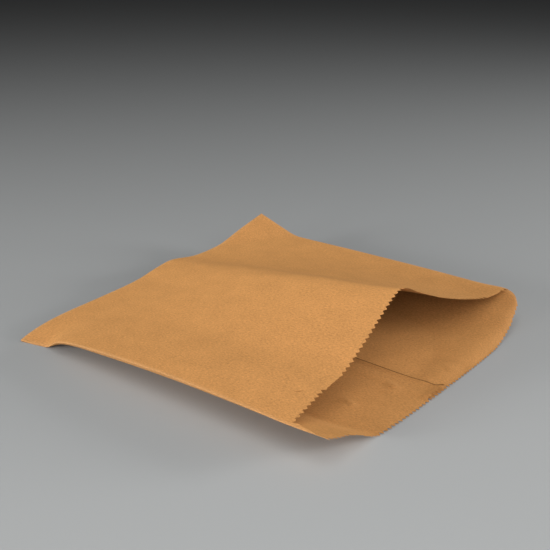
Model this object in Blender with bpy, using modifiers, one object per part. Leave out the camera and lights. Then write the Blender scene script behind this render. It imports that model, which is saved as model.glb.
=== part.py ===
"""Flat kraft paper bag with a pinked mouth, lying on its seamed back panel with its mouth sprung open.

The bag is one sheet of paper. The sheet is cut flat as a blank, with its pinked edges, and then folded:
the two outer strips turn under along the side creases and lap at a glued seam down the middle of the back,
and the flap at the closed end turns under onto the back panel.

Frame: +X from the closed end to the mouth, +Y from the near side crease to the far one, +Z up.
"""
import math

import bmesh
import bpy
import numpy as np

MM = 0.001

# The flat bag
BAG_LENGTH = 216 * MM
BAG_WIDTH = 216 * MM
LIP = 16 * MM  # how far the back panel stands out past the front panel at the mouth
FLAP = 16 * MM  # the stepped cut that leaves the lip leaves an equal flap at the closed end
FRONT_LENGTH = BAG_LENGTH - LIP
PAPER = 0.1 * MM
FOLD_RADIUS = 0.3 * MM
GLUE_LINE = 0.15 * MM  # gap between two plies that are glued together
PLY_STEP = PAPER + GLUE_LINE

# Pinked edges
TEETH_ACROSS = 66
TOOTH_PITCH = BAG_WIDTH / TEETH_ACROSS
TOOTH_DEPTH = 1.9 * MM
SEAM_LAP = 4 * TOOTH_PITCH
SEAM_AT = BAG_WIDTH / 2  # free edge of the inner ply, measured from the near crease

# Slit for the stringing cord, on the front panel beside the near corner of the mouth
SLIT_FROM_EDGE = 12 * MM
SLIT_FROM_CREASE = 22.8 * MM
SLIT_LENGTH = 5 * MM
SLIT_WIDTH = 0.6 * MM
SLIT_SAG = 1.3 * MM
SLIT_TURN = math.radians(-57.4)  # it runs slantwise, bowed towards the near corner of the mouth

# Springing of the paper
BELLY = 16 * MM  # how far the back panel sags below a straight span between its edges
TAB_LIFT = 2.2 * MM  # the loose corner of the inner ply, curled up at the mouth
TAB_LENGTH = 9 * MM

# Density of the model
TEETH_PER_COLUMN = 3
COLUMNS = TEETH_ACROSS // TEETH_PER_COLUMN
ROW_LENGTH = 10 * MM
FOLD_STEPS = 4
CURVE_STEPS = 24


def mm(*points):
    """Rows of x, y, z in millimetres, as an array in metres."""
    return np.array(points, dtype=float) * MM


# The five edges of the sprung bag, as it lies on a table at z = 0
NEAR_CREASE = mm((0, 0, 6.8), (9, 0, 7.6), (17.5, 0, 8.4), (24, 0, 9), (31, 0, 9.8), (42, 0, 10.9),
                 (55, 0, 12.4), (87, 0, 14.9), (123, 0, 16.4), (150, 0, 16.6), (178, 0, 16.4),
                 (199, 0, 15.9), (215, 0, 16.4))
CLOSED_END = mm((0, 0, 6.8), (0, 12, 7.2), (0, 28, 7.9), (0, 57, 8.9), (0, 88, 11.1), (-1, 106, 14),
                (-1, 119, 15.7), (-1, 142, 12.8), (-1, 163, 13.4), (-2, 190, 14.9), (-2, 213.5, 16))
FAR_CREASE = mm((-2, 213.5, 16), (5, 213, 16), (12, 212.4, 16), (20, 211.8, 16), (29, 211, 16.1),
                (40, 210, 16.4), (82, 207, 17.9), (142, 202.4, 19.7), (180, 199.6, 20.3), (201, 197.8, 20.8),
                (206, 196.6, 18.6), (209.5, 194, 13.6))
FRONT_EDGE = mm((195.2, 0, 15.9), (193.3, 24, 20.4), (193.2, 42, 24), (192.8, 55.5, 30.8), (191.4, 74, 40.6),
                (190.4, 86, 46.4), (189.7, 95, 48.8), (190, 102, 47.8), (190.2, 112.5, 42.4),
                (191.5, 133, 33.6), (194.6, 163, 23.6), (197.5, 178, 20.6), (201, 197.8, 20.8))
BACK_EDGE = mm((215, 0, 16.4), (215.2, 7.5, 14), (215.2, 15, 11.7), (215.2, 24, 7.6), (215.4, 32, 3.2),
               (215.8, 40, 0.3), (216.4, 52, 0), (216.6, 100, 0), (215.7, 140, 0), (214.8, 158, 0.2),
               (213.5, 170, 2), (212.5, 180, 5.6), (211, 188, 9.2), (209.5, 194, 13.6))

# The near corner of the closed end droops to the table: along, sideways and upward moves of the crease there
NEAR_CORNER_DROOP = mm((0, -1.6, -5.6), (9, 1, -7), (17.5, 2.8, -7.8), (24, 2, -5), (31, 0.5, -1.9), (42, 0, 0),
                       (60, 0, 0))
DROOP_FADE = 13 * MM
# The far corner is bent up along a slanting line that meets the far crease and the closed end at these distances
FAR_CORNER_LIFT = 9.6 * MM
LIFT_ALONG = 33 * MM
LIFT_ACROSS = 47 * MM
LIFT_SOFTNESS = 0.15


class Edge:
    """A smooth curve through a few points, read by the fraction of its length."""

    def __init__(self, points):
        gaps = np.sqrt(np.linalg.norm(np.diff(points, axis=0), axis=1))
        knots = np.concatenate(([0.0], np.cumsum(gaps)))
        slopes = np.gradient(points, knots, axis=0)
        samples = []
        for k in range(len(points) - 1):
            span = knots[k + 1] - knots[k]
            for t in np.arange(CURVE_STEPS) / CURVE_STEPS:
                start = (1 + 2 * t) * (1 - t) ** 2 * points[k] + t * (1 - t) ** 2 * span * slopes[k]
                finish = t * t * (3 - 2 * t) * points[k + 1] - t * t * (1 - t) * span * slopes[k + 1]
                samples.append(start + finish)
        samples.append(points[-1])
        self.samples = np.array(samples)
        steps = np.linalg.norm(np.diff(self.samples, axis=0), axis=1)
        self.fractions = np.concatenate(([0.0], np.cumsum(steps))) / steps.sum()

    def at(self, fraction):
        return np.array([np.interp(fraction, self.fractions, self.samples[:, k]) for k in range(3)])

    def fraction_near(self, point):
        return self.fractions[np.argmin(np.linalg.norm(self.samples - point, axis=1))]


near_crease = Edge(NEAR_CREASE)
far_crease = Edge(FAR_CREASE)
closed_end = Edge(CLOSED_END)
front_edge = Edge(FRONT_EDGE)
back_edge = Edge(BACK_EDGE)
near_droop = Edge(NEAR_CORNER_DROOP)
NEAR_CORNER = near_crease.fraction_near(FRONT_EDGE[0])
FAR_CORNER = far_crease.fraction_near(FRONT_EDGE[-1])


def on_crease(crease, corner, along):
    """Point of a side crease at a distance from the closed end; corner is where the front panel ends."""
    return crease.at(np.interp(along, (0, FRONT_LENGTH, BAG_LENGTH), (0, corner, 1)))


def panel(along, across, mouth_edge, length):
    """Point of a panel stretched between its four edges."""
    a = along / length
    b = across / BAG_WIDTH
    sides = (1 - b) * on_crease(near_crease, NEAR_CORNER, along) + b * on_crease(far_crease, FAR_CORNER, along)
    ends = (1 - a) * closed_end.at(b) + a * mouth_edge.at(b)
    near_corners = (1 - a) * closed_end.at(0) + a * mouth_edge.at(0)
    far_corners = (1 - a) * closed_end.at(1) + a * mouth_edge.at(1)
    stretched = sides + ends - (1 - b) * near_corners - b * far_corners
    return stretched + bent_corners(along, across)


def bent_corners(along, across):
    """How far the two corners of the closed end move a point: the near one droops and the far one is bent up."""
    fade = math.exp(-across / DROOP_FADE)
    sideways, upward = (np.interp(along, near_droop.samples[:, 0], near_droop.samples[:, k]) for k in (1, 2))
    past_bend = 1 - along / LIFT_ALONG - (BAG_WIDTH - across) / LIFT_ACROSS
    if past_bend < LIFT_SOFTNESS:
        past_bend = max(past_bend + LIFT_SOFTNESS, 0) ** 2 / (4 * LIFT_SOFTNESS)
    return np.array((0, sideways * fade, upward * fade + FAR_CORNER_LIFT * past_bend))


def front_panel(along, across):
    return panel(along, across, front_edge, FRONT_LENGTH)


def back_panel(along, across):
    """The back panel hangs slack between its edges, down to the table."""
    point = panel(along, across, back_edge, BAG_LENGTH)
    a = along / BAG_LENGTH
    b = across / BAG_WIDTH
    slack = max(0.0, math.sin(math.pi * a ** 0.8)) ** 0.8 * (4 * b * (1 - b)) ** 0.6
    point[2] -= BELLY * slack
    return point


def smooth_step(value, start, end):
    t = min(max((value - start) / (end - start), 0.0), 1.0)
    return t * t * (3 - 2 * t)


def rest(point, plies_below):
    """Keep a ply on the table, or on the plies that lie under it."""
    point[2] = max(point[2], PAPER / 2 + plies_below * PLY_STEP)
    return point


def back_ply(along, across, inner):
    """A ply of the back panel. The inner ply climbs onto the outer one at the seam and over the end flap."""
    lap = smooth_step(across, SEAM_AT - SEAM_LAP - TOOTH_PITCH, SEAM_AT - SEAM_LAP) if inner else 0.0
    over_flap = 1 - smooth_step(along, FLAP, FLAP + TOOTH_PITCH)
    point = back_panel(along, across)
    point[2] -= FOLD_RADIUS
    point = rest(point, over_flap)
    point[2] += lap * PLY_STEP
    if inner:
        curl = smooth_step(along, BAG_LENGTH - TAB_LENGTH, BAG_LENGTH) * lap
        point[2] += TAB_LIFT * curl
    return point


def front_ply(along, across):
    point = front_panel(along, across)
    point[2] += FOLD_RADIUS
    return point


# The blank is laid out with x along the bag and y across the sheet, from the inner ply's free edge
FOLD_ARC = math.pi * FOLD_RADIUS
END_RADIUS = FOLD_RADIUS + PLY_STEP / 2
END_ARC = math.pi * END_RADIUS
NEAR_FOLD_START = SEAM_AT
FRONT_START = NEAR_FOLD_START + FOLD_ARC
FRONT_STOP = FRONT_START + BAG_WIDTH
FAR_FOLD_STOP = FRONT_STOP + FOLD_ARC
SHEET_WIDTH = FAR_FOLD_STOP + BAG_WIDTH - SEAM_AT + SEAM_LAP


def folded(x, y):
    """Where a point of the flat blank lies once the bag is folded and sprung open."""
    if x < 0:
        return turned_under(x, y - FRONT_START)
    if y <= NEAR_FOLD_START:
        return back_ply(x, NEAR_FOLD_START - y, inner=True)
    if y >= FAR_FOLD_STOP:
        return back_ply(x, BAG_WIDTH - (y - FAR_FOLD_STOP), inner=False)
    if FRONT_START <= y <= FRONT_STOP:
        return front_ply(x, y - FRONT_START)
    near = y < FRONT_START
    angle = (y - NEAR_FOLD_START if near else FAR_FOLD_STOP - y) / FOLD_RADIUS
    crease, corner, across, outward = (
        (near_crease, NEAR_CORNER, 0.0, -1.0) if near else (far_crease, FAR_CORNER, BAG_WIDTH, 1.0))
    low = back_ply(x, across, inner=near)
    high = on_crease(crease, corner, x) + bent_corners(x, across) + np.array((0, 0, FOLD_RADIUS))
    turn = (1 - math.cos(angle)) / 2
    point = low * (1 - turn) + high * turn
    point[1] += outward * FOLD_RADIUS * math.sin(angle)
    return point


def turned_under(x, across):
    """The flap: round the closed end and flat under the back panel."""
    top = front_ply(0.0, across)
    angle = -x / END_RADIUS
    if angle < math.pi:
        top[0] -= END_RADIUS * math.sin(angle)
        top[2] -= END_RADIUS * (1 - math.cos(angle))
        return rest(top, 0)
    along = -x - END_ARC
    point = back_panel(along, across)
    point[2] -= FOLD_RADIUS + PLY_STEP
    return rest(point, 0)


def stations(*runs):
    """Increasing places along one axis of the blank: each run is (start, stop, steps)."""
    places = [runs[0][0]]
    for start, stop, steps in runs:
        places += [start + (stop - start) * k / steps for k in range(1, steps + 1)]
    return places


def flat_blank():
    """The sheet before it is folded: a grid cut to the outline, with its pinked edges."""
    half = COLUMNS // 2
    rows = stations((-END_ARC - FLAP, -END_ARC, 2), (-END_ARC, 0, FOLD_STEPS),
                    (0, FRONT_LENGTH, round(FRONT_LENGTH / ROW_LENGTH)), (FRONT_LENGTH, BAG_LENGTH, 3))
    columns = stations((0, SEAM_LAP, 1), (SEAM_LAP, NEAR_FOLD_START, half), (NEAR_FOLD_START, FRONT_START, FOLD_STEPS),
                       (FRONT_START, FRONT_STOP, COLUMNS), (FRONT_STOP, FAR_FOLD_STOP, FOLD_STEPS),
                       (FAR_FOLD_STOP, SHEET_WIDTH - SEAM_LAP, half), (SHEET_WIDTH - SEAM_LAP, SHEET_WIDTH, 1))
    blank = bmesh.new()
    bmesh.ops.create_grid(blank, x_segments=len(rows) - 1, y_segments=len(columns) - 1, size=1.0)
    for vertex in blank.verts:
        row = round((vertex.co.x + 1) / 2 * (len(rows) - 1))
        column = round((vertex.co.y + 1) / 2 * (len(columns) - 1))
        vertex.co = (rows[row], columns[column], 0)
    waste = [face for face in blank.faces if is_waste(*face.calc_center_median().xy)]
    bmesh.ops.delete(blank, geom=waste, context="FACES")
    for edge_at in (BAG_LENGTH, FRONT_LENGTH, -END_ARC - FLAP):
        pink(blank, edge_at)
    bmesh.ops.triangulate(blank, faces=blank.faces[:])
    return blank


def is_waste(x, y):
    """Parts of the grid outside the blank: beside the end flap, and past the front panel's mouth edge."""
    middle_of_near_fold = NEAR_FOLD_START + FOLD_ARC / 2
    middle_of_far_fold = FAR_FOLD_STOP - FOLD_ARC / 2
    if x < 0:
        return not FRONT_START < y < FRONT_STOP
    return x > FRONT_LENGTH and middle_of_near_fold < y < middle_of_far_fold


def pink(blank, edge_at):
    """Cut one mouth or flap edge of the blank into teeth, whose tips stay on the line."""
    def on_line(vertex):
        return abs(vertex.co.x - edge_at) < 0.01 * MM

    half_pitch = TOOTH_PITCH / 2
    inward = -1 if edge_at > 0 else 1
    edges = [edge for edge in blank.edges
             if edge.is_boundary and on_line(edge.verts[0]) and on_line(edge.verts[1])
             and edge.calc_length() > 2 * half_pitch]
    for edge in edges:
        cuts = round(edge.calc_length() / half_pitch) - 1
        start = min(vertex.co.y for vertex in edge.verts)
        parts = bmesh.ops.subdivide_edges(blank, edges=[edge], cuts=cuts)
        for vertex in parts["geom_inner"]:
            if isinstance(vertex, bmesh.types.BMVert) and round((vertex.co.y - start) / half_pitch) % 2:
                vertex.co.x += inward * TOOTH_DEPTH


def paper_material():
    """Uncoated brown kraft paper."""
    paper = bpy.data.materials.new("kraft_paper")
    paper.use_nodes = True
    shader = paper.node_tree.nodes["Principled BSDF"]
    shader.inputs["Base Color"].default_value = (0.52, 0.29, 0.13, 1)
    shader.inputs["Roughness"].default_value = 0.85
    shader.inputs["Metallic"].default_value = 0.0
    return paper


def slit_cutter(collection, shift):
    """A thin curved wedge that cuts the string slit through the front panel alone."""
    middle = front_ply(FRONT_LENGTH - SLIT_FROM_EDGE, SLIT_FROM_CREASE) + shift
    outline = bpy.data.curves.new("string_slit_cutter", "CURVE")
    outline.dimensions = "2D"
    outline.fill_mode = "BOTH"
    outline.extrude = 1.5 * MM
    spline = outline.splines.new("POLY")
    steps = 8
    spline.points.add(2 * steps - 1)
    for k in range(steps + 1):
        t = 2 * k / steps - 1
        bow = SLIT_SAG * (1 - t * t)
        spline.points[k].co = (bow, t * SLIT_LENGTH / 2, 0, 1)
        if 0 < k < steps:
            spline.points[2 * steps - k].co = (bow - SLIT_WIDTH * (1 - t * t), t * SLIT_LENGTH / 2, 0, 1)
    spline.use_cyclic_u = True
    curve = bpy.data.objects.new("string_slit_curve", outline)
    collection.objects.link(curve)
    bpy.context.view_layer.update()
    mesh = bpy.data.meshes.new_from_object(curve.evaluated_get(bpy.context.evaluated_depsgraph_get()))
    bpy.data.objects.remove(curve)
    closed = bmesh.new()
    closed.from_mesh(mesh)
    bmesh.ops.remove_doubles(closed, verts=closed.verts[:], dist=0.01 * MM)
    bmesh.ops.recalc_face_normals(closed, faces=closed.faces[:])
    closed.to_mesh(mesh)
    closed.free()
    cutter = bpy.data.objects.new("string_slit_cutter", mesh)
    cutter.location = middle
    cutter.rotation_euler = (0, 0, SLIT_TURN)
    cutter.hide_render = True
    cutter.display_type = "WIRE"
    collection.objects.link(cutter)
    return cutter


def paper_bag(collection, cutters):
    """Fold the blank, centre it over its origin, give it its thickness and cut the string slit."""
    blank = flat_blank()
    for vertex in blank.verts:
        vertex.co = folded(vertex.co.x, vertex.co.y)
    low = np.min([vertex.co[:] for vertex in blank.verts], axis=0)
    high = np.max([vertex.co[:] for vertex in blank.verts], axis=0)
    shift = np.array((-(low[0] + high[0]) / 2, -(low[1] + high[1]) / 2, 0))
    bmesh.ops.translate(blank, verts=blank.verts[:], vec=shift)
    mesh = bpy.data.meshes.new("paper_bag")
    blank.to_mesh(mesh)
    blank.free()
    mesh.materials.append(paper_material())
    bag = bpy.data.objects.new("paper_bag", mesh)
    collection.objects.link(bag)
    wall = bag.modifiers.new("paper thickness", "SOLIDIFY")
    wall.thickness = PAPER
    wall.offset = 0
    slit = bag.modifiers.new("string slit", "BOOLEAN")
    slit.operation = "DIFFERENCE"
    slit.object = slit_cutter(cutters, shift)
    return bag


def main():
    for item in list(bpy.data.objects):
        bpy.data.objects.remove(item)
    parts = bpy.data.collections.new("brown_paper_bag")
    cutters = bpy.data.collections.new("cutters")
    for collection in (parts, cutters):
        bpy.context.scene.collection.children.link(collection)
    paper_bag(parts, cutters)


main()
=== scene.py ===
"""Finished look of a flat kraft paper bag with a pinked mouth, lying on its back panel with the mouth sprung open.

The bag is folded here as it is in its construction model, from one flat sheet, but from a much finer one:
every tooth of the pinked edges is cut, and the paper keeps its creases, slow waves, worn edges and lifted corner.
Lengths are in metres. The flat sheet has x along the bag and y across it.
"""
import math

import bmesh
import bpy
import numpy as np
from bpy.props import FloatProperty, FloatVectorProperty, IntProperty, PointerProperty
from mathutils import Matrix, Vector, noise


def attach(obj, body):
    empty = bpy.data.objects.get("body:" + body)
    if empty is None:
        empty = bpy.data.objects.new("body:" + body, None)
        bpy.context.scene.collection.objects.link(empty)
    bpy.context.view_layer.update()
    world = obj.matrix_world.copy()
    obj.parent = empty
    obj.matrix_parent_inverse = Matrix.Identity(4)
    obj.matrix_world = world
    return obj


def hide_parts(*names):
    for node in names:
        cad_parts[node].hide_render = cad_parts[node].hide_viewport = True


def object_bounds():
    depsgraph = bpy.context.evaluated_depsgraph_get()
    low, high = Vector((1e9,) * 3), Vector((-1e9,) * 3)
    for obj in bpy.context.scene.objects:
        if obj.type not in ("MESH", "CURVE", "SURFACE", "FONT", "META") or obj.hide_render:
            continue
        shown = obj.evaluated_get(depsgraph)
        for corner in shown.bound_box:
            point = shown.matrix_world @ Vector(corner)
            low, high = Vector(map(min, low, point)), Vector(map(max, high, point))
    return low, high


bl_info = {
    "name": "Kraft Paper Bag",
    "version": (1, 0, 0),
    "blender": (4, 5, 0),
    "location": "View3D > Sidebar > Paper Bag",
    "description": "Folds a kraft paper bag from a pinked sheet and sets it on a studio floor",
    "category": "Object",
}

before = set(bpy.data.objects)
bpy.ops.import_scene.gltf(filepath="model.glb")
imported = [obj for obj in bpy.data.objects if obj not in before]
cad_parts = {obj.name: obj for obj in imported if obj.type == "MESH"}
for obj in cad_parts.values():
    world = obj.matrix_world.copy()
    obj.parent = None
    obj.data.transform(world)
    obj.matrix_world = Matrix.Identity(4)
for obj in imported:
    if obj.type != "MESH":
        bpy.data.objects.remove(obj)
FRAME_LOW, FRAME_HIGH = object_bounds()

MM = 0.001

# The flat bag
BAG_LENGTH = 216 * MM
BAG_WIDTH = 216 * MM
LIP = 16 * MM  # how far the back panel stands out past the front panel at the mouth
FLAP = 16 * MM
FRONT_LENGTH = BAG_LENGTH - LIP
PAPER = 0.1 * MM
FOLD_RADIUS = 0.3 * MM
GLUE_LINE = 0.15 * MM
PLY_STEP = PAPER + GLUE_LINE

# Pinked edges
TEETH_ACROSS = 66
TOOTH_PITCH = BAG_WIDTH / TEETH_ACROSS
HALF_TOOTH = TOOTH_PITCH / 2
TOOTH_ROOM = 2.6 * MM  # depth of the row of sheet that the teeth are cut from
SEAM_LAP = 4 * TOOTH_PITCH
SEAM_AT = BAG_WIDTH / 2  # free edge of the inner ply, measured from the near crease

# Springing of the paper
BELLY = 16 * MM  # how far the back panel sags below a straight span between its edges
TAB_LIFT = 2.2 * MM  # the loose corner of the inner ply, curled up at the mouth
TAB_LENGTH = 9 * MM
SEAM_LIFT = 0.7 * MM  # how far the unglued free edge of the inner ply stands off the outer one
SEAM_LIFT_WIDTH = 4 * MM
LIP_LIFT = 0.9 * MM  # how far the cut edge of the lip stands off the table
LIP_LIFT_REACH = 30 * MM
SEAM_LIFT_START = 100 * MM  # the edge is held down as far along the bag as this, and is free from the next
SEAM_LIFT_FULL = 150 * MM
SEAM_PAINTED_SHADOW = 0.6  # painted shadow: how much darker the strip along the inner ply's free edge is painted, for the shadow that edge casts on the seam
SEAM_PAINTED_SHADOW_WIDTH = 0.6 * MM
SHARP_ANGLE = math.radians(50)  # the cut rims are sharp, and the folds are smooth

# The sheet, with y measured from the inner ply's free edge
FOLD_ARC = math.pi * FOLD_RADIUS
END_RADIUS = FOLD_RADIUS + PLY_STEP / 2
END_ARC = math.pi * END_RADIUS
NEAR_FOLD_START = SEAM_AT
FRONT_START = NEAR_FOLD_START + FOLD_ARC
FRONT_STOP = FRONT_START + BAG_WIDTH
FAR_FOLD_STOP = FRONT_STOP + FOLD_ARC
SHEET_WIDTH = FAR_FOLD_STOP + BAG_WIDTH - SEAM_AT + SEAM_LAP
SHEET_SPAN = 0.5  # one unit of the sheet's texture map

# Worn and torn teeth: (across from, across to, what is left of the tooth, how far the edge is pulled back)
FRONT_MOUTH_WEAR = (
    (24 * MM, 30 * MM, 1.35, 0.0),
    (31 * MM, 42 * MM, 0.25, 0.5 * MM),
    (106 * MM, 196 * MM, 1.7, 0.0),
    (197 * MM, 210 * MM, 0.15, 0.5 * MM),
)
BACK_MOUTH_WEAR = (
    (20 * MM, 38 * MM, 0.45, 0.3 * MM),
    (112 * MM, 117 * MM, 1.5, 0.0),
    (203 * MM, 208.5 * MM, 0.6, 1.3 * MM),
    (208.6 * MM, 214 * MM, 2.2, -1.0 * MM),
)

# A sliver of the front panel left along the near crease, past the end of its pinked edge
SLIVER_LENGTH = 10 * MM
SLIVER_WIDTH = 2.6 * MM

# Pinched creases in the back panel inside the mouth: (along, across, reach, height, direction of the first fold)
PINCHES = (
    (198 * MM, 92 * MM, 15 * MM, 2.2 * MM, math.radians(165)),
    (190 * MM, 63 * MM, 12 * MM, 1.8 * MM, math.radians(170)),
    (205 * MM, 128 * MM, 9 * MM, 0.9 * MM, math.radians(60)),
)

# Slit for the stringing cord
SLIT_ALONG = FRONT_LENGTH - 12 * MM
SLIT_ACROSS = 22.8 * MM
SLIT_LENGTH = 5 * MM
SLIT_WIDTH = 0.6 * MM
SLIT_SAG = 1.3 * MM
SLIT_TURN = math.radians(-57.4)

CURVE_STEPS = 24


def mm(*points):
    """Rows of x, y, z in millimetres, as an array in metres."""
    return np.array(points, dtype=float) * MM


# The five edges of the sprung bag, as it lies on a table at z = 0
NEAR_CREASE = mm((0, 0, 6.8), (9, 0, 7.6), (17.5, 0, 8.4), (24, 0, 9), (31, 0, 9.8), (42, 0, 10.9),
                 (55, 0, 12.4), (87, 0, 14.9), (123, 0, 16.4), (150, 0, 16.6), (178, 0, 16.4),
                 (199, 0, 15.9), (215, 0, 16.4))
CLOSED_END = mm((0, 0, 6.8), (0, 12, 7.2), (0, 28, 7.9), (0, 57, 8.9), (0, 88, 11.1), (-1, 106, 14),
                (-1, 119, 15.7), (-1, 142, 12.8), (-1, 163, 13.4), (-2, 190, 14.9), (-2, 213.5, 16))
FAR_CREASE = mm((-2, 213.5, 16), (5, 213, 16), (12, 212.4, 16), (20, 211.8, 16), (29, 211, 16.1),
                (40, 210, 16.4), (82, 207, 17.9), (142, 202.4, 19.7), (180, 199.6, 20.3), (201, 197.8, 20.8),
                (206, 196.6, 18.6), (209.5, 194, 13.6))
FRONT_EDGE = mm((195.2, 0, 15.9), (193.3, 24, 20.4), (193.2, 42, 24), (192.8, 55.5, 30.8), (191.4, 74, 40.6),
                (190.4, 86, 46.4), (189.7, 95, 48.8), (190, 102, 47.8), (190.2, 112.5, 42.4),
                (191.5, 133, 33.6), (194.6, 163, 23.6), (197.5, 178, 20.6), (201, 197.8, 20.8))
BACK_EDGE = mm((215, 0, 16.4), (215.2, 7.5, 14), (215.2, 15, 11.7), (215.2, 24, 7.6), (215.4, 32, 3.2),
               (215.8, 40, 0.3), (216.4, 52, 0), (216.6, 100, 0), (215.7, 140, 0), (214.8, 158, 0.2),
               (213.5, 170, 2), (212.5, 180, 5.6), (211, 188, 9.2), (209.5, 194, 13.6))

# The near corner of the closed end droops to the table: along, sideways and upward moves of the crease there
NEAR_CORNER_DROOP = mm((0, -1.6, -5.6), (9, 1, -7), (17.5, 2.8, -7.8), (24, 2, -5), (31, 0.5, -1.9), (42, 0, 0),
                       (60, 0, 0))
DROOP_FADE = 13 * MM
# The far corner is bent up along a slanting line that meets the far crease and the closed end at these distances
FAR_CORNER_LIFT = 9.6 * MM
LIFT_ALONG = 33 * MM
LIFT_ACROSS = 47 * MM
LIFT_SOFTNESS = 0.15


# ---------------------------------------------------------------- shape of the sprung bag

class Edge:
    """A smooth curve through a few points, read by the fraction of its length."""

    def __init__(self, points):
        gaps = np.sqrt(np.linalg.norm(np.diff(points, axis=0), axis=1))
        knots = np.concatenate(([0.0], np.cumsum(gaps)))
        slopes = np.gradient(points, knots, axis=0)
        samples = []
        for k in range(len(points) - 1):
            span = knots[k + 1] - knots[k]
            for t in np.arange(CURVE_STEPS) / CURVE_STEPS:
                start = (1 + 2 * t) * (1 - t) ** 2 * points[k] + t * (1 - t) ** 2 * span * slopes[k]
                finish = t * t * (3 - 2 * t) * points[k + 1] - t * t * (1 - t) * span * slopes[k + 1]
                samples.append(start + finish)
        samples.append(points[-1])
        self.samples = np.array(samples)
        steps = np.linalg.norm(np.diff(self.samples, axis=0), axis=1)
        self.fractions = np.concatenate(([0.0], np.cumsum(steps))) / steps.sum()

    def at(self, fraction):
        return np.stack([np.interp(fraction, self.fractions, self.samples[:, k]) for k in range(3)], axis=-1)

    def fraction_near(self, point):
        return self.fractions[np.argmin(np.linalg.norm(self.samples - point, axis=1))]


near_crease = Edge(NEAR_CREASE)
far_crease = Edge(FAR_CREASE)
closed_end = Edge(CLOSED_END)
front_edge = Edge(FRONT_EDGE)
back_edge = Edge(BACK_EDGE)
near_droop = Edge(NEAR_CORNER_DROOP)
NEAR_CORNER = near_crease.fraction_near(FRONT_EDGE[0])
FAR_CORNER = far_crease.fraction_near(FRONT_EDGE[-1])


def smooth_step(value, start, end):
    t = np.clip((value - start) / (end - start), 0.0, 1.0)
    return t * t * (3 - 2 * t)


def on_crease(crease, corner, along):
    """Points of a side crease at distances from the closed end; corner is where the front panel ends."""
    return crease.at(np.interp(along, (0, FRONT_LENGTH, BAG_LENGTH), (0, corner, 1)))


def panel(along, across, mouth_edge, length):
    """Points of a panel stretched between its four edges."""
    a = along / length
    b = across / BAG_WIDTH
    ends = (1 - a)[:, None] * closed_end.at(b) + a[:, None] * mouth_edge.at(b)
    near_side = (on_crease(near_crease, NEAR_CORNER, along)
                 - (1 - a)[:, None] * closed_end.at(0) - a[:, None] * mouth_edge.at(0))
    far_side = (on_crease(far_crease, FAR_CORNER, along)
                - (1 - a)[:, None] * closed_end.at(1) - a[:, None] * mouth_edge.at(1))
    return ends + (1 - b)[:, None] * near_side + b[:, None] * far_side + bent_corners(along, across)


def bent_corners(along, across):
    """How far the two corners of the closed end move points: the near one droops and the far one is bent up."""
    fade = np.exp(-across / DROOP_FADE)
    sideways, upward = (np.interp(along, near_droop.samples[:, 0], near_droop.samples[:, k]) for k in (1, 2))
    past_bend = 1 - along / LIFT_ALONG - (BAG_WIDTH - across) / LIFT_ACROSS
    softened = np.maximum(past_bend + LIFT_SOFTNESS, 0) ** 2 / (4 * LIFT_SOFTNESS)
    past_bend = np.where(past_bend < LIFT_SOFTNESS, softened, past_bend)
    return np.stack((np.zeros_like(fade), sideways * fade, upward * fade + FAR_CORNER_LIFT * past_bend), axis=-1)


def front_ply(along, across):
    place = panel(along, across, front_edge, FRONT_LENGTH)
    place[:, 2] += FOLD_RADIUS
    return place


def back_panel(along, across):
    """The back panel hangs slack between its edges, down to the table."""
    place = panel(along, across, back_edge, BAG_LENGTH)
    a = np.clip(along / BAG_LENGTH, 0, 1)
    b = across / BAG_WIDTH
    place[:, 2] -= BELLY * np.maximum(0, np.sin(math.pi * a ** 0.8)) ** 0.8 * np.maximum(0, 4 * b * (1 - b)) ** 0.6
    return place


def rest(place, plies_below):
    """Keep a ply on the table, or on the plies that lie under it."""
    place[:, 2] = np.maximum(place[:, 2], PAPER / 2 + plies_below * PLY_STEP)
    return place


def back_ply(along, across, inner):
    """A ply of the back panel. The inner ply climbs onto the outer one at the seam and over the end flap."""
    lap = smooth_step(across, SEAM_AT - SEAM_LAP - TOOTH_PITCH, SEAM_AT - SEAM_LAP) if inner else 0.0
    over_flap = 1 - smooth_step(along, FLAP, FLAP + TOOTH_PITCH)
    place = back_panel(along, across)
    place[:, 2] -= FOLD_RADIUS
    rest(place, over_flap)
    place[:, 2] += lap * PLY_STEP
    if inner:
        place[:, 2] += TAB_LIFT * lap * smooth_step(along, BAG_LENGTH - TAB_LENGTH, BAG_LENGTH)
    return place


def end_flap(x, across):
    """The flap: round the closed end and flat under the back panel."""
    angle = -x / END_RADIUS
    over = front_ply(np.zeros_like(x), across)
    over[:, 0] -= END_RADIUS * np.sin(np.minimum(angle, math.pi))
    over[:, 2] -= END_RADIUS * (1 - np.cos(np.minimum(angle, math.pi)))
    under = back_panel(np.maximum(-x - END_ARC, 0), across)
    under[:, 2] -= FOLD_RADIUS + PLY_STEP
    return rest(np.where((angle < math.pi)[:, None], over, under), 0)


def side_fold(x, angle, near):
    """The paper going round a side crease, from the back ply at angle 0 to the front ply at a half turn."""
    crease, corner, across, outward = (
        (near_crease, NEAR_CORNER, 0.0, -1.0) if near else (far_crease, FAR_CORNER, BAG_WIDTH, 1.0))
    across = np.full_like(x, across)
    low = back_ply(x, across, inner=near)
    high = on_crease(crease, corner, x) + bent_corners(x, across) + np.array((0, 0, FOLD_RADIUS))
    turn = ((1 - np.cos(angle)) / 2)[:, None]
    place = low * (1 - turn) + high * turn
    place[:, 1] += outward * FOLD_RADIUS * np.sin(angle)
    return place


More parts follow.
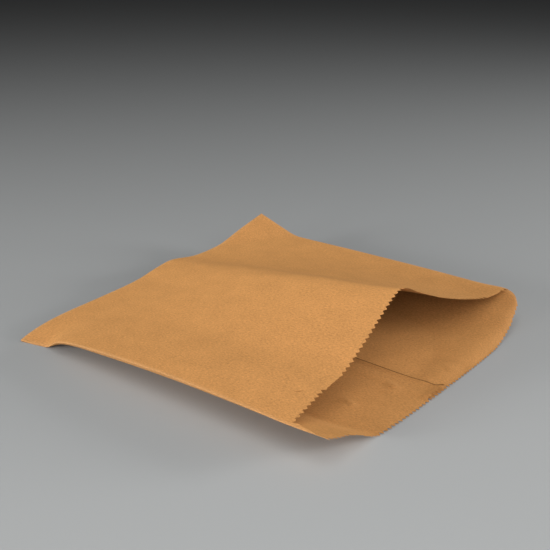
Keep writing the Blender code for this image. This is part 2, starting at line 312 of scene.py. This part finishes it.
def folded(x, y):
    """Where points of the flat sheet lie once the bag is folded and sprung open."""
    place = np.empty((len(x), 3))
    flap = x < 0
    inner = ~flap & (y <= NEAR_FOLD_START)
    outer = ~flap & (y >= FAR_FOLD_STOP)
    front = ~flap & (y >= FRONT_START) & (y <= FRONT_STOP)
    near_fold = ~flap & (y > NEAR_FOLD_START) & (y < FRONT_START)
    far_fold = ~flap & (y > FRONT_STOP) & (y < FAR_FOLD_STOP)
    place[flap] = end_flap(x[flap], y[flap] - FRONT_START)
    place[inner] = back_ply(x[inner], NEAR_FOLD_START - y[inner], inner=True)
    place[outer] = back_ply(x[outer], BAG_WIDTH - (y[outer] - FAR_FOLD_STOP), inner=False)
    place[front] = front_ply(x[front], y[front] - FRONT_START)
    place[near_fold] = side_fold(x[near_fold], (y[near_fold] - NEAR_FOLD_START) / FOLD_RADIUS, near=True)
    place[far_fold] = side_fold(x[far_fold], (FAR_FOLD_STOP - y[far_fold]) / FOLD_RADIUS, near=False)
    return place


def across_panel(y):
    """Distance across the panel that a place on the sheet belongs to, from the near crease."""
    return np.select(
        (y <= NEAR_FOLD_START, y < FRONT_START, y <= FRONT_STOP, y < FAR_FOLD_STOP),
        (NEAR_FOLD_START - y, 0.0, y - FRONT_START, BAG_WIDTH),
        BAG_WIDTH - (y - FAR_FOLD_STOP))


# ---------------------------------------------------------------- relief left in the paper

WAVE_SIZES = (38 * MM, 13 * MM)
HELD_BY_CREASE = 14 * MM  # width beside each side crease where the paper is held flat
HELD_BY_END = 20 * MM
RIPPLE_PITCH = 5.5 * MM
RIPPLE_HEIGHT = 0.12 * MM
RIPPLE_REACH = 14 * MM
PINCH_ROUNDING = 1.2 * MM


def slow_waves(along, across, size, layer):
    """Smooth random waves of the given size, from -1 to 1."""
    return np.array([noise.noise(Vector((a / size, b / size, layer))) for a, b in zip(along, across)])


def pinch(along, across, crease):
    """A pinched crease: two sharp folds that run out of one point and die away in the flat."""
    middle_along, middle_across, reach, height, direction = crease
    da, db = along - middle_along, across - middle_across
    radius = np.hypot(da, db)
    heading = np.arctan2(db, da) - direction
    folds = np.clip(np.cos(heading), 0, 1) ** 14 + 0.7 * np.clip(np.cos(heading - 1.1), 0, 1) ** 18
    return height * folds * np.clip(1 - radius / reach, 0, 1) * smooth_step(radius, 0, PINCH_ROUNDING)


def relief(along, across, front, wave_height):
    """How far the paper stands off its smooth shape."""
    held = smooth_step(across, 0, HELD_BY_CREASE) * smooth_step(BAG_WIDTH - across, 0, HELD_BY_CREASE)
    held = held * (0.25 + 0.75 * smooth_step(along, 0, HELD_BY_END))
    layer = 1.5 if front else 7.5
    slow, quick = WAVE_SIZES
    waves = slow_waves(along, across, slow, layer) + 0.35 * slow_waves(along, across, quick, layer + 3)
    height = wave_height * waves * held
    if not front:
        height = height + sum(pinch(along, across, crease) for crease in PINCHES)
        ripple = np.sin(2 * math.pi * (across + 0.35 * along) / RIPPLE_PITCH)
        height = height + RIPPLE_HEIGHT * ripple * smooth_step(along, BAG_LENGTH - RIPPLE_REACH, BAG_LENGTH) * held
    return height


# ---------------------------------------------------------------- the flat sheet

def stations(*runs):
    """Increasing places along one axis of the sheet: each run is (start, stop, steps)."""
    places = [runs[0][0]]
    for start, stop, steps in runs:
        places += [start + (stop - start) * k / steps for k in range(1, steps + 1)]
    return places


def is_waste(x, y):
    """Parts of the grid outside the sheet: beside the end flap, and past the front panel's mouth edge."""
    if x < 0:
        return not FRONT_START < y < FRONT_STOP
    if x < FRONT_LENGTH:
        return False
    beyond = x > FRONT_LENGTH + SLIVER_LENGTH and y > NEAR_FOLD_START + FOLD_ARC / 2
    past_sliver = beyond or y > FRONT_START + HALF_TOOTH
    return past_sliver and y < FAR_FOLD_STOP - FOLD_ARC / 2


def straight_sheet():
    """The sheet cut to its outline with straight edges, as a mesh with what the pinking needs on its points."""
    teeth_room = FRONT_LENGTH - TOOTH_ROOM
    rows = stations((-END_ARC - FLAP, -END_ARC - FLAP + TOOTH_ROOM, 1), (-END_ARC - FLAP + TOOTH_ROOM, -END_ARC, 7),
                    (-END_ARC, 0, 6), (0, teeth_room, 98), (teeth_room, FRONT_LENGTH, 1),
                    (FRONT_LENGTH, BAG_LENGTH - TOOTH_ROOM, 7), (BAG_LENGTH - TOOTH_ROOM, BAG_LENGTH, 1))
    columns = stations((0, NEAR_FOLD_START, round(NEAR_FOLD_START / HALF_TOOTH)),
                       (NEAR_FOLD_START, FRONT_START, 6), (FRONT_START, FRONT_STOP, 2 * TEETH_ACROSS),
                       (FRONT_STOP, FAR_FOLD_STOP, 6),
                       (FAR_FOLD_STOP, SHEET_WIDTH, round((SHEET_WIDTH - FAR_FOLD_STOP) / HALF_TOOTH)))
    sheet = bmesh.new()
    bmesh.ops.create_grid(sheet, x_segments=len(rows) - 1, y_segments=len(columns) - 1, size=1.0)
    for vertex in sheet.verts:
        row = round((vertex.co.x + 1) / 2 * (len(rows) - 1))
        column = round((vertex.co.y + 1) / 2 * (len(columns) - 1))
        vertex.co = (rows[row], columns[column], 0)
    waste = [face for face in sheet.faces if is_waste(*face.calc_center_median().xy)]
    bmesh.ops.delete(sheet, geom=waste, context="FACES")
    mark_cut_edges(sheet)
    taper_sliver(sheet)
    mesh = bpy.data.meshes.new("paper_sheet")
    sheet.to_mesh(mesh)
    sheet.free()
    return mesh


def mark_cut_edges(sheet):
    """Store on each point which way its tooth is cut, how much of the tooth is left and how worn the edge is."""
    inward = sheet.verts.layers.float.new("cut_inward")
    tooth = sheet.verts.layers.float.new("tooth_left")
    pulled = sheet.verts.layers.float.new("pulled_back")
    across = sheet.verts.layers.float.new("across")
    for vertex in sheet.verts:
        x, y = vertex.co.x, vertex.co.y
        vertex[across] = float(across_panel(np.array(y)))
        vertex[tooth] = 1.0
        on_front = NEAR_FOLD_START < y < FAR_FOLD_STOP
        if not vertex.is_boundary or (on_front and x > FRONT_LENGTH + 0.01 * MM):
            continue
        for edge_at, direction, wear in ((BAG_LENGTH, -1, BACK_MOUTH_WEAR), (FRONT_LENGTH, -1, FRONT_MOUTH_WEAR),
                                         (-END_ARC - FLAP, 1, ())):
            if abs(x - edge_at) < 0.01 * MM:
                vertex[inward] = direction
                for start, stop, left, back in wear:
                    if start <= vertex[across] <= stop:
                        vertex[tooth], vertex[pulled] = left, back


def taper_sliver(sheet):
    """Narrow the sliver past the front panel's mouth edge to a ragged point."""
    line = [v for v in sheet.verts if v.co.x > FRONT_LENGTH + 0.01 * MM
            and abs(v.co.y - FRONT_START - HALF_TOOTH) < 0.01 * MM]
    for k, vertex in enumerate(sorted(line, key=lambda v: v.co.x)):
        left = 1 - (vertex.co.x - FRONT_LENGTH) / SLIVER_LENGTH
        ragged = 0.35 * MM if k % 2 else 0.0
        vertex.co.y = FRONT_START + max(0.1 * MM, SLIVER_WIDTH * left - ragged)


# ---------------------------------------------------------------- node helpers

def add_node(tree, kind, values=None, **settings):
    node = tree.nodes.new(kind)
    for name, value in settings.items():
        setattr(node, name, value)
    for name, value in (values or {}).items():
        node.inputs[name].default_value = value
    return node


def math_node(tree, operation, first, second=None, third=None):
    """A math node whose inputs are sockets or numbers; returns its output."""
    node = add_node(tree, "ShaderNodeMath", operation=operation)
    for slot, value in enumerate((first, second, third)):
        if isinstance(value, bpy.types.NodeSocket):
            tree.links.new(value, node.inputs[slot])
        elif value is not None:
            node.inputs[slot].default_value = value
    return node.outputs[0]


def socket_of(sockets, name):
    return next(socket for socket in sockets if socket.name == name and socket.enabled)


# ---------------------------------------------------------------- pinking the edges

def pinking_tree():
    """Geometry Nodes that cut every marked edge of a flat sheet into teeth."""
    tree = bpy.data.node_groups.new("pinked_edges", "GeometryNodeTree")
    face = tree.interface
    face.new_socket("Sheet", in_out="INPUT", socket_type="NodeSocketGeometry")
    for name, default in (("Tooth Pitch", TOOTH_PITCH), ("Tooth Depth", 1.9 * MM)):
        socket = face.new_socket(name, in_out="INPUT", socket_type="NodeSocketFloat")
        socket.subtype = "DISTANCE"
        socket.default_value = default
    face.new_socket("Raggedness", in_out="INPUT", socket_type="NodeSocketFloat").default_value = 0.3
    face.new_socket("Seed", in_out="INPUT", socket_type="NodeSocketInt").default_value = 4
    face.new_socket("Paper", in_out="INPUT", socket_type="NodeSocketMaterial")
    face.new_socket("Sheet", in_out="OUTPUT", socket_type="NodeSocketGeometry")

    given = add_node(tree, "NodeGroupInput").outputs
    result = add_node(tree, "NodeGroupOutput")

    def stored(name):
        return socket_of(add_node(tree, "GeometryNodeInputNamedAttribute", {"Name": name}).outputs, "Attribute")

    tooth = math_node(tree, "DIVIDE", stored("across"), given["Tooth Pitch"])
    into_tooth = math_node(tree, "MULTIPLY", math_node(tree, "PINGPONG", tooth, 0.5), 2.0)
    grain = add_node(tree, "ShaderNodeTexNoise", {"Scale": 420.0, "Detail": 1.0}, noise_dimensions="4D")
    tree.links.new(add_node(tree, "GeometryNodeInputPosition").outputs[0], grain.inputs["Vector"])
    tree.links.new(given["Seed"], grain.inputs["W"])
    chance = math_node(tree, "MULTIPLY_ADD", grain.outputs[0], 2.0, -1.0)
    ragged = math_node(tree, "MULTIPLY", chance, given["Raggedness"])
    depth = math_node(tree, "MULTIPLY", given["Tooth Depth"], stored("tooth_left"))
    cut = math_node(tree, "MULTIPLY", depth, into_tooth)
    nicked = math_node(tree, "MULTIPLY_ADD", depth, math_node(tree, "ABSOLUTE", ragged), cut)
    inward = math_node(tree, "MULTIPLY", stored("cut_inward"), math_node(tree, "ADD", nicked, stored("pulled_back")))
    sideways = math_node(tree, "MULTIPLY", math_node(tree, "MULTIPLY", ragged, HALF_TOOTH),
                         math_node(tree, "ABSOLUTE", stored("cut_inward")))
    offset = add_node(tree, "ShaderNodeCombineXYZ")
    tree.links.new(inward, offset.inputs["X"])
    tree.links.new(sideways, offset.inputs["Y"])

    move = add_node(tree, "GeometryNodeSetPosition")
    tree.links.new(given["Sheet"], move.inputs["Geometry"])
    tree.links.new(offset.outputs[0], move.inputs["Offset"])
    realize = add_node(tree, "GeometryNodeRealizeInstances")
    tree.links.new(move.outputs[0], realize.inputs[0])
    paint = add_node(tree, "GeometryNodeSetMaterial")
    tree.links.new(realize.outputs[0], paint.inputs["Geometry"])
    tree.links.new(given["Paper"], paint.inputs["Material"])
    tree.links.new(paint.outputs[0], result.inputs[0])
    return tree


def plain_mesh(piece):
    """The piece as its modifiers leave it, as a plain mesh."""
    bpy.context.view_layer.update()
    graph = bpy.context.evaluated_depsgraph_get()
    return bpy.data.meshes.new_from_object(piece.evaluated_get(graph), preserve_all_data_layers=True, depsgraph=graph)


def pinked_sheet(settings, paper):
    """The flat sheet with its teeth cut, as an object with a plain mesh."""
    sheet = bpy.data.objects.new("kraft_bag", straight_sheet())
    bpy.context.scene.collection.objects.link(sheet)
    tree = pinking_tree()
    pinking = sheet.modifiers.new("pinked edges", "NODES")
    pinking.node_group = tree
    values = {"Tooth Pitch": TOOTH_PITCH, "Tooth Depth": settings.tooth_depth, "Raggedness": settings.raggedness,
              "Seed": settings.seed, "Paper": paper}
    for item in tree.interface.items_tree:
        if item.in_out == "INPUT" and item.name in values:
            pinking[item.identifier] = values[item.name]
    cut = plain_mesh(sheet)
    sheet.modifiers.remove(pinking)
    sheet.data = cut
    return sheet


# ---------------------------------------------------------------- kraft paper

def kraft_paper(settings):
    """Uncoated brown kraft: short fibres, faint mottling, folds lightened as worn fibres and as a painted highlight,
    and a painted shadow along the seam's free edge.
    """
    material = bpy.data.materials.new("kraft_paper")
    material.use_nodes = True
    tree = material.node_tree
    shader = tree.nodes["Principled BSDF"]
    links = tree.links

    sheet_map = add_node(tree, "ShaderNodeUVMap", uv_map="Sheet")
    in_mm = add_node(tree, "ShaderNodeMapping", {"Scale": (SHEET_SPAN / MM,) * 3})
    links.new(sheet_map.outputs[0], in_mm.inputs[0])

    def fibres(scale, stretch, turn, detail):
        laid = add_node(tree, "ShaderNodeMapping", {"Scale": (stretch, 1, 1), "Rotation": (0, 0, turn)})
        links.new(in_mm.outputs[0], laid.inputs[0])
        grain = add_node(tree, "ShaderNodeTexNoise", {"Scale": scale, "Detail": detail, "Roughness": 0.6})
        links.new(laid.outputs[0], grain.inputs["Vector"])
        return grain.outputs[0]

    lengthwise = fibres(1.5, 0.35, 0.2, 3)
    crosswise = fibres(1.2, 0.45, 1.4, 3)
    speckle = fibres(1.1, 1.0, 0.0, 4)
    mottle = fibres(0.09, 0.7, 0.4, 4)
    pulp = math_node(tree, "MULTIPLY_ADD", lengthwise, 0.35,
                     math_node(tree, "MULTIPLY_ADD", crosswise, 0.3, math_node(tree, "MULTIPLY", speckle, 0.35)))

    def swing(pattern, contrast):
        return math_node(tree, "MULTIPLY", math_node(tree, "SUBTRACT", pattern, 0.5), contrast * 2)

    shade = math_node(tree, "ADD", swing(pulp, settings.fibre_contrast), swing(mottle, settings.mottle_contrast))
    # painted highlight: the folds are lightened towards a paler colour, partly worn fibres and partly a painted
    # highlight of the rounded fold
    fold_wear_and_highlight = add_node(tree, "ShaderNodeAttribute", attribute_name="fold_wear_and_highlight")
    fold_wear_and_highlight_amount = math_node(tree, "MULTIPLY", fold_wear_and_highlight.outputs["Fac"], math_node(tree, "MULTIPLY_ADD", pulp, 1.2, -0.1))

    flat_place = add_node(tree, "ShaderNodeSeparateXYZ")
    links.new(in_mm.outputs[0], flat_place.inputs[0])
    # painted shadow: a thin dark strip along the inner ply's free edge, standing in for the shadow of that edge on
    # the seam
    painted_shadow_band = math_node(tree, "LESS_THAN", flat_place.outputs[1], SEAM_PAINTED_SHADOW_WIDTH / MM)
    painted_seam_shadow = math_node(tree, "MULTIPLY", painted_shadow_band, math_node(tree, "GREATER_THAN", flat_place.outputs[0], 0.0))
    brightness = math_node(tree, "MULTIPLY", math_node(tree, "ADD", shade, 1.0),
                           math_node(tree, "MULTIPLY_ADD", painted_seam_shadow, -SEAM_PAINTED_SHADOW, 1.0))
    tone = add_node(tree, "ShaderNodeVectorMath", operation="SCALE")
    tone.inputs[0].default_value = settings.paper_colour
    links.new(brightness, tone.inputs["Scale"])
    # this mix paints the folds lighter: worn fibres and a painted highlight along the folds
    worn = add_node(tree, "ShaderNodeMix", data_type="RGBA")
    links.new(math_node(tree, "MULTIPLY", fold_wear_and_highlight_amount, 0.3), worn.inputs["Factor"])
    colour_in = [socket for socket in worn.inputs if socket.type == "RGBA"]
    links.new(tone.outputs[0], colour_in[0])
    colour_in[1].default_value = (*settings.fold_wear_and_highlight_colour, 1)
    links.new(next(socket for socket in worn.outputs if socket.type == "RGBA"), shader.inputs["Base Color"])

    links.new(math_node(tree, "MULTIPLY_ADD", pulp, -0.2, 0.88), shader.inputs["Roughness"])
    shader.inputs["Metallic"].default_value = 0.0
    shader.inputs["IOR"].default_value = 1.45
    shader.inputs["Specular IOR Level"].default_value = 0.2
    shader.inputs["Diffuse Roughness"].default_value = 0.8

    fine = add_node(tree, "ShaderNodeBump", {"Strength": 1.0, "Distance": 0.2 * MM})
    links.new(pulp, fine.inputs["Height"])
    cockle = add_node(tree, "ShaderNodeBump", {"Strength": 0.5, "Distance": 0.6 * MM})
    links.new(fibres(0.16, 0.6, 0.9, 2), cockle.inputs["Height"])
    links.new(fine.outputs[0], cockle.inputs["Normal"])
    links.new(cockle.outputs[0], shader.inputs["Normal"])
    return material


def map_sheet(mesh, x, y):
    """Give the mesh a texture map that is the flat sheet itself."""
    sheet_map = mesh.uv_layers.new(name="Sheet")
    corners = np.empty(len(mesh.loops), dtype=np.int32)
    mesh.loops.foreach_get("vertex_index", corners)
    flat = np.stack((x[corners], y[corners]), axis=1) / SHEET_SPAN
    sheet_map.data.foreach_set("uv", flat.astype(np.float32).ravel())


def mark_fold_wear_and_highlight(mesh, x, y):
    """Mark how strongly the paper is lightened, as worn fibres and as a painted highlight, strongest on its folds and
    fading out beside them.
    """
    reach = 0.9 * MM
    to_fold = np.min([np.maximum(np.abs(y - middle) - FOLD_ARC / 2, 0) for middle in
                      (NEAR_FOLD_START + FOLD_ARC / 2, FRONT_STOP + FOLD_ARC / 2)], axis=0)
    to_end = np.where(x > -END_ARC, np.maximum(x, 0), -END_ARC - x)
    fold_wear_and_highlight = np.maximum(np.clip(1 - to_fold / reach, 0, 1), 0.8 * np.clip(1 - to_end / reach, 0, 1))
    layer = mesh.attributes.new("fold_wear_and_highlight", "FLOAT", "POINT")
    layer.data.foreach_set("value", fold_wear_and_highlight.astype(np.float32))


# ---------------------------------------------------------------- folding the bag

def slit_cutter(shift):
    """A thin curved wedge that cuts the string slit through the front panel alone."""
    middle = front_ply(np.array([SLIT_ALONG]), np.array([SLIT_ACROSS]))[0] + shift
    wedge = bmesh.new()
    steps = 12
    rim = []
    for k in range(steps + 1):
        t = 2 * k / steps - 1
        rim.append((SLIT_SAG * (1 - t * t), t * SLIT_LENGTH / 2))
    for k in range(steps - 1, 0, -1):
        t = 2 * k / steps - 1
        rim.append(((SLIT_SAG - SLIT_WIDTH) * (1 - t * t), t * SLIT_LENGTH / 2))
    cos, sin = math.cos(SLIT_TURN), math.sin(SLIT_TURN)
    top = [wedge.verts.new((middle[0] + a * cos - b * sin, middle[1] + a * sin + b * cos, middle[2] + 1.5 * MM))
           for a, b in rim]
    face = wedge.faces.new(top)
    lower = bmesh.ops.extrude_face_region(wedge, geom=[face])
    bmesh.ops.translate(wedge, verts=[v for v in lower["geom"] if isinstance(v, bmesh.types.BMVert)],
                        vec=(0, 0, -3 * MM))
    bmesh.ops.recalc_face_normals(wedge, faces=wedge.faces[:])
    mesh = bpy.data.meshes.new("slit_cutter")
    wedge.to_mesh(mesh)
    wedge.free()
    cutter = bpy.data.objects.new("slit_cutter", mesh)
    bpy.context.scene.collection.objects.link(cutter)
    return cutter


def press_relief(mesh, x, y, wave_height):
    """Move the folded paper along its normals by its relief, and lift its free edges; no ply sinks into another."""
    normals = np.empty(3 * len(mesh.vertices))
    mesh.vertex_normals.foreach_get("vector", normals)
    normals = normals.reshape(-1, 3)
    place = np.empty(3 * len(mesh.vertices))
    mesh.vertices.foreach_get("co", place)
    place = place.reshape(-1, 3)
    across = across_panel(y)
    front = (y >= FRONT_START) & (y <= FRONT_STOP) & (x > 0)
    back = ((y <= NEAR_FOLD_START) | (y >= FAR_FOLD_STOP)) & (x > FLAP)
    for ply, is_front in ((front, True), (back, False)):
        upward = np.sign(normals[ply, 2])[:, None] * normals[ply]
        place[ply] += upward * relief(x[ply], across[ply], is_front, wave_height)[:, None]
    lap = smooth_step(across, SEAM_AT - SEAM_LAP - TOOTH_PITCH, SEAM_AT - SEAM_LAP) * (y <= NEAR_FOLD_START)
    place[back, 2] = np.maximum(place[back, 2], PAPER / 2 + lap[back] * PLY_STEP)
    free_edge = smooth_step(SEAM_LIFT_WIDTH - y, 0, SEAM_LIFT_WIDTH)
    place[:, 2] += SEAM_LIFT * free_edge * smooth_step(x, SEAM_LIFT_START, SEAM_LIFT_FULL)
    place[:, 2] += LIP_LIFT * smooth_step(x, BAG_LENGTH - LIP_LIFT_REACH, BAG_LENGTH - TOOTH_ROOM)
    mesh.vertices.foreach_set("co", place.ravel())
    mesh.update()


def folded_bag(settings):
    """Fold the pinked sheet, centre it over its origin, press in its relief, and give it its thickness and slit."""
    bag = pinked_sheet(settings, kraft_paper(settings))
    mesh = bag.data
    flat = np.empty(3 * len(mesh.vertices))
    mesh.vertices.foreach_get("co", flat)
    x, y, _ = flat.reshape(-1, 3).T
    x, y = x.copy(), y.copy()
    map_sheet(mesh, x, y)
    mark_fold_wear_and_highlight(mesh, x, y)

    middle = (FRAME_LOW + FRAME_HIGH) / 2
    place = folded(x, y)
    shift = np.array((middle.x - (place[:, 0].min() + place[:, 0].max()) / 2,
                      middle.y - (place[:, 1].min() + place[:, 1].max()) / 2, FRAME_LOW.z))
    place += shift
    mesh.vertices.foreach_set("co", place.ravel())
    mesh.update()
    press_relief(mesh, x, y, settings.wave_height)
    mesh.shade_smooth()

    wall = bag.modifiers.new("paper thickness", "SOLIDIFY")
    wall.thickness = PAPER
    wall.offset = 0
    cutter = slit_cutter(shift)
    slit = bag.modifiers.new("string slit", "BOOLEAN")
    slit.operation = "DIFFERENCE"
    slit.object = cutter
    bag.data = plain_mesh(bag)
    bag.modifiers.clear()
    bag.data.set_sharp_from_angle(angle=SHARP_ANGLE)
    bpy.data.objects.remove(cutter)
    if not bag.data.materials:
        raise RuntimeError("the bag lost its paper material")
    return bag


# ---------------------------------------------------------------- stage

CAMERA_PLACE = (0.2997, -0.3776, 0.2162)
CAMERA_DOWN = math.radians(20.6)
CAMERA_HEADING = math.radians(39.22)
CAMERA_LENS = 58.9
LIGHT_AIM = (0.0, 0.0, 0.02)
FLOOR_SPAN = 12.0

# name: (direction from the object in degrees round from the camera's right, height in degrees, distance, size, watts)
LIGHTS = {
    "right_softbox": (0, 10, 1.4, 0.4, 16.0),
    "left_softbox": (205, 10, 1.4, 0.4, 13.0),
    "front_left_softbox": (230, 10, 1.4, 0.4, 4.5),
    "front_softbox": (270, 30, 1.2, 0.8, 4.9),
    "overhead_front_softbox": (270, 60, 1.2, 0.8, 4.5),
    "front_right_softbox": (315, 30, 1.2, 0.8, 3.4),
}


def pale_floor(settings):
    """Seamless pale studio floor."""
    material = bpy.data.materials.new("studio_floor")
    material.use_nodes = True
    tree = material.node_tree
    shader = tree.nodes["Principled BSDF"]
    shader.inputs["Base Color"].default_value = (*settings.floor_colour, 1)
    shader.inputs["Roughness"].default_value = 0.7
    shader.inputs["Specular IOR Level"].default_value = 0.2
    half = FLOOR_SPAN / 2
    mesh = bpy.data.meshes.new("studio_floor")
    mesh.from_pydata([(-half, -half, 0), (half, -half, 0), (half, half, 0), (-half, half, 0)], [], [(0, 1, 2, 3)])
    mesh.materials.append(material)
    floor = bpy.data.objects.new("studio_floor", mesh)
    bpy.context.scene.collection.objects.link(floor)
    return floor


def softbox(name, around, height, distance, size, watts):
    """A square soft light, aimed at the object."""
    lamp = bpy.data.lights.new(name, "AREA")
    lamp.shape = "SQUARE"
    lamp.size = size
    lamp.energy = watts
    light = bpy.data.objects.new(name, lamp)
    turn = math.radians(around) + CAMERA_HEADING
    lift = math.radians(height)
    away = Vector((math.cos(turn) * math.cos(lift), math.sin(turn) * math.cos(lift), math.sin(lift)))
    light.location = Vector(LIGHT_AIM) + distance * away
    light.rotation_euler = away.to_track_quat("Z", "Y").to_euler()
    bpy.context.scene.collection.objects.link(light)
    return light


def studio_camera():
    camera = bpy.data.objects.new("camera", bpy.data.cameras.new("camera"))
    camera.data.sensor_width = 36
    camera.data.lens = CAMERA_LENS
    camera.data.clip_start = 0.01
    camera.data.clip_end = 50
    camera.location = CAMERA_PLACE
    camera.rotation_euler = (math.pi / 2 - CAMERA_DOWN, 0, CAMERA_HEADING)
    bpy.context.scene.collection.objects.link(camera)
    bpy.context.scene.camera = camera


# ---------------------------------------------------------------- settings, operators and panel

class PaperBagSettings(bpy.types.PropertyGroup):
    tooth_depth: FloatProperty(name="Tooth depth", description="Depth of the pinked teeth",
                               default=1.9 * MM, min=0, max=2.4 * MM, unit="LENGTH", precision=4)
    raggedness: FloatProperty(name="Raggedness", description="How unevenly the teeth are cut and worn",
                              default=0.16, min=0, max=1, subtype="FACTOR")
    seed: IntProperty(name="Seed", description="Which set of uneven teeth is cut", default=4, min=0)
    wave_height: FloatProperty(name="Wave height", description="Height of the slow waves left in the paper",
                               default=0.5 * MM, min=0, max=1 * MM, unit="LENGTH", precision=4)
    paper_colour: FloatVectorProperty(name="Paper", description="Colour of the kraft paper", subtype="COLOR",
                                      default=(0.50, 0.241, 0.077), min=0, max=1)
    # colour the folds are lightened towards: worn fibres and a painted highlight
    fold_wear_and_highlight_colour: FloatVectorProperty(name="Rubbed paper", description="Colour of the fibres raised on the folds",
                                       subtype="COLOR", default=(0.72, 0.46, 0.24), min=0, max=1)
    fibre_contrast: FloatProperty(name="Fibre contrast", description="How strongly single fibres show",
                                  default=0.95, min=0, max=1, subtype="FACTOR")
    mottle_contrast: FloatProperty(name="Mottle contrast", description="How strongly the pulp's clouds show",
                                   default=0.14, min=0, max=1, subtype="FACTOR")


class StudioSettings(bpy.types.PropertyGroup):
    floor_colour: FloatVectorProperty(name="Floor", description="Colour of the studio floor", subtype="COLOR",
                                      default=(0.42, 0.43, 0.43), min=0, max=1)
    light_level: FloatProperty(name="Light level", description="Multiplies every light", default=1.0, min=0, max=10)
    fill: FloatProperty(name="Fill", description="Strength of the light from all round", default=0.03, min=0, max=5)


class OBJECT_OT_fold_kraft_bag(bpy.types.Operator):
    """Cut the pinked sheet and fold it into the sprung bag"""

    bl_idname = "object.fold_kraft_bag"
    bl_label = "Fold Kraft Bag"

    def execute(self, context):
        bag = folded_bag(context.scene.paper_bag)
        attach(bag, "root")
        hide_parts("paper_bag")
        return {"FINISHED"}


class OBJECT_OT_set_bag_stage(bpy.types.Operator):
    """Lay the pale floor and place the soft lights and the camera"""

    bl_idname = "object.set_bag_stage"
    bl_label = "Set Stage"

    def execute(self, context):
        settings = context.scene.paper_bag_studio
        pale_floor(settings)
        for name, (around, height, distance, size, watts) in LIGHTS.items():
            softbox(name, around, height, distance, size, watts * settings.light_level)
        world = bpy.data.worlds.new("studio")
        world.use_nodes = True
        world.node_tree.nodes["Background"].inputs["Color"].default_value = (1, 1, 1, 1)
        world.node_tree.nodes["Background"].inputs["Strength"].default_value = settings.fill * settings.light_level
        context.scene.world = world
        context.scene.view_settings.view_transform = "Standard"
        studio_camera()
        return {"FINISHED"}


class VIEW3D_PT_kraft_bag(bpy.types.Panel):
    bl_idname = "VIEW3D_PT_kraft_bag"
    bl_label = "Kraft Paper Bag"
    bl_space_type = "VIEW_3D"
    bl_region_type = "UI"
    bl_category = "Paper Bag"

    def draw(self, context):
        for settings, operator in ((context.scene.paper_bag, OBJECT_OT_fold_kraft_bag),
                                   (context.scene.paper_bag_studio, OBJECT_OT_set_bag_stage)):
            box = self.layout.box()
            for name in settings.bl_rna.properties.keys():
                if name not in ("rna_type", "name"):
                    box.prop(settings, name)
            box.operator(operator.bl_idname)


CLASSES = (PaperBagSettings, StudioSettings, OBJECT_OT_fold_kraft_bag, OBJECT_OT_set_bag_stage, VIEW3D_PT_kraft_bag)


def register():
    for cls in CLASSES:
        bpy.utils.register_class(cls)
    bpy.types.Scene.paper_bag = PointerProperty(type=PaperBagSettings)
    bpy.types.Scene.paper_bag_studio = PointerProperty(type=StudioSettings)


def unregister():
    del bpy.types.Scene.paper_bag_studio
    del bpy.types.Scene.paper_bag
    for cls in reversed(CLASSES):
        bpy.utils.unregister_class(cls)


def main():
    register()
    bpy.ops.object.fold_kraft_bag()
    bpy.ops.object.set_bag_stage()


if __name__ == "__main__":
    main()
